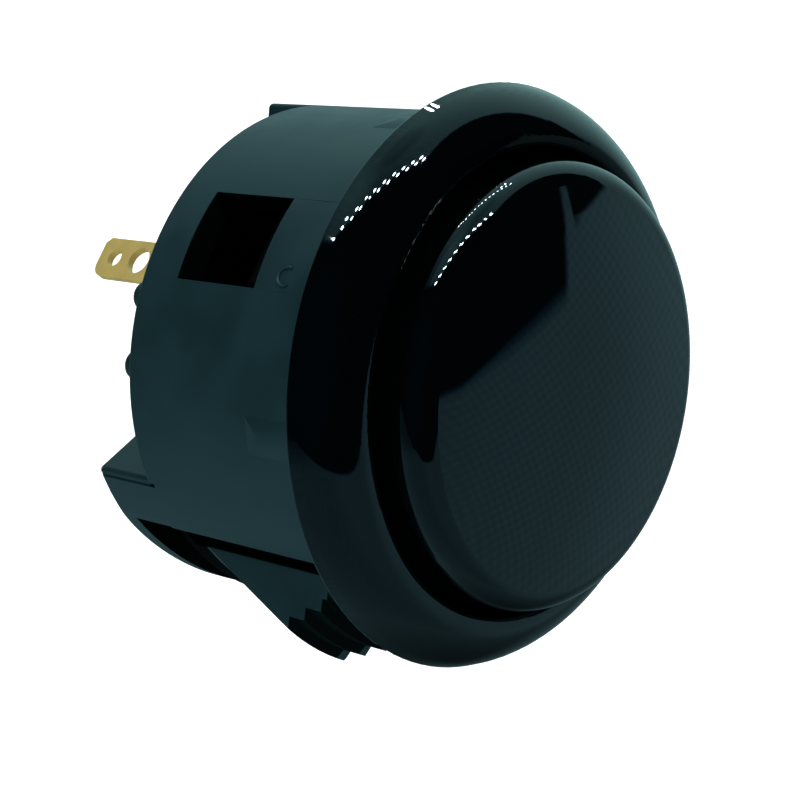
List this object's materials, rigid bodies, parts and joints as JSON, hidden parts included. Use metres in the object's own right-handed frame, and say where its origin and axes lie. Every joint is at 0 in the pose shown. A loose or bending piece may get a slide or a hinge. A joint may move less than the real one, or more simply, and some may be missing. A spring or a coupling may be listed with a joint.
{
  "type": "arcade push button",
  "caption": "Round snap-in arcade push button: domed plunger in a rounded bezel, a barrel with sprung panel clips, and a plug-in contact switch behind it with blade terminals.",
  "frame": {"origin": "centre of the panel hole, on the bezel's underside, which is the face that sits on the panel", "axes": "+Z out of the panel along the plunger's axis; +X and -X through the windows; +Y and -Y through the snap clips"},
  "size_m": [0.033, 0.035, 0.0379],
  "materials": {
    "housing_plastic": "black moulded plastic, glossy bezel and satin barrel",
    "plunger_plastic": "glossy black moulded plastic",
    "switch_plastic": "matt black moulded plastic",
    "base_plastic": "matt black moulded plastic",
    "terminal_brass": "stamped brass",
    "contact_silver": "silver-faced contact button",
    "actuator_plastic": "natural white moulded plastic",
    "bridge_brass": "stamped brass",
    "spring_steel": "drawn spring wire"
  },
  "bodies": {
    "housing_body": {"housing": "housing_plastic", "switch_case": "switch_plastic", "switch_base": "base_plastic", "terminal_left": "terminal_brass", "terminal_right": "terminal_brass", "fixed_contact_left": "contact_silver", "fixed_contact_right": "contact_silver", "return_spring": "spring_steel"},
    "plunger_body": {"plunger": "plunger_plastic"},
    "actuator_body": {"actuator": "actuator_plastic", "contact_bridge": "bridge_brass", "bridge_contact_left": "contact_silver", "bridge_contact_right": "contact_silver", "retaining_ring": "spring_steel", "overtravel_spring": "spring_steel"}
  },
  "joints": [
    {"name": "plunger_press", "type": "slide", "parent": "housing_body", "child": "plunger_body", "axis": [0, 0, 1], "range_m": [-0.0028, 0], "stiffness_N_per_m": 280, "springref_m": 0.0018},
    {"name": "actuator_slide", "type": "slide", "parent": "housing_body", "child": "actuator_body", "axis": [0, 0, 1], "range_m": [-0.0028, 0], "deforming": ["return_spring"]}
  ],
  "couplings": [
    {"joint": "actuator_slide", "follows": "plunger_press", "ratio": 1}
  ]
}
